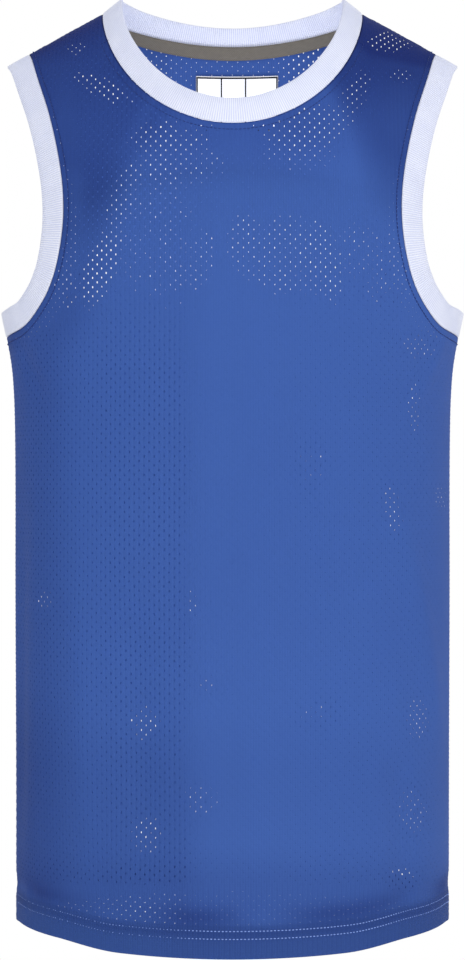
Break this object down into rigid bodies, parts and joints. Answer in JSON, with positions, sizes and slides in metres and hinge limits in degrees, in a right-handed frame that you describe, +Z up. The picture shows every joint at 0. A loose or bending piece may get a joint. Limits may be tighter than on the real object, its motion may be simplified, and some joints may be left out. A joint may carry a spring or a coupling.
{
  "type": "basketball jersey",
  "caption": "Sleeveless mesh basketball jersey with rib neckband and armhole bands, filled out as if worn, open at neck, armholes and hem.",
  "frame": {"origin": "midway between the two shoulder seams, at the height of their middles, where the wearer's shoulders carry the cloth", "axes": "+Z up, the front of the jersey faces -Y, +X is the wearer's left"},
  "size_m": [0.3528, 0.2777, 0.7047],
  "materials": {
    "mesh_cloth": "semi-matte polyester mesh knit",
    "rib_knit": "matte rib knit",
    "neck_tape": "matte twill tape",
    "neck_label": "smooth satin label"
  },
  "bodies": {
    "root": {"front_panel": "mesh_cloth", "back_panel": "mesh_cloth", "neckband": "rib_knit", "armhole_band_left": "rib_knit", "armhole_band_right": "rib_knit", "neck_tape": "neck_tape", "neck_label": "neck_label"}
  },
  "joints": []
}
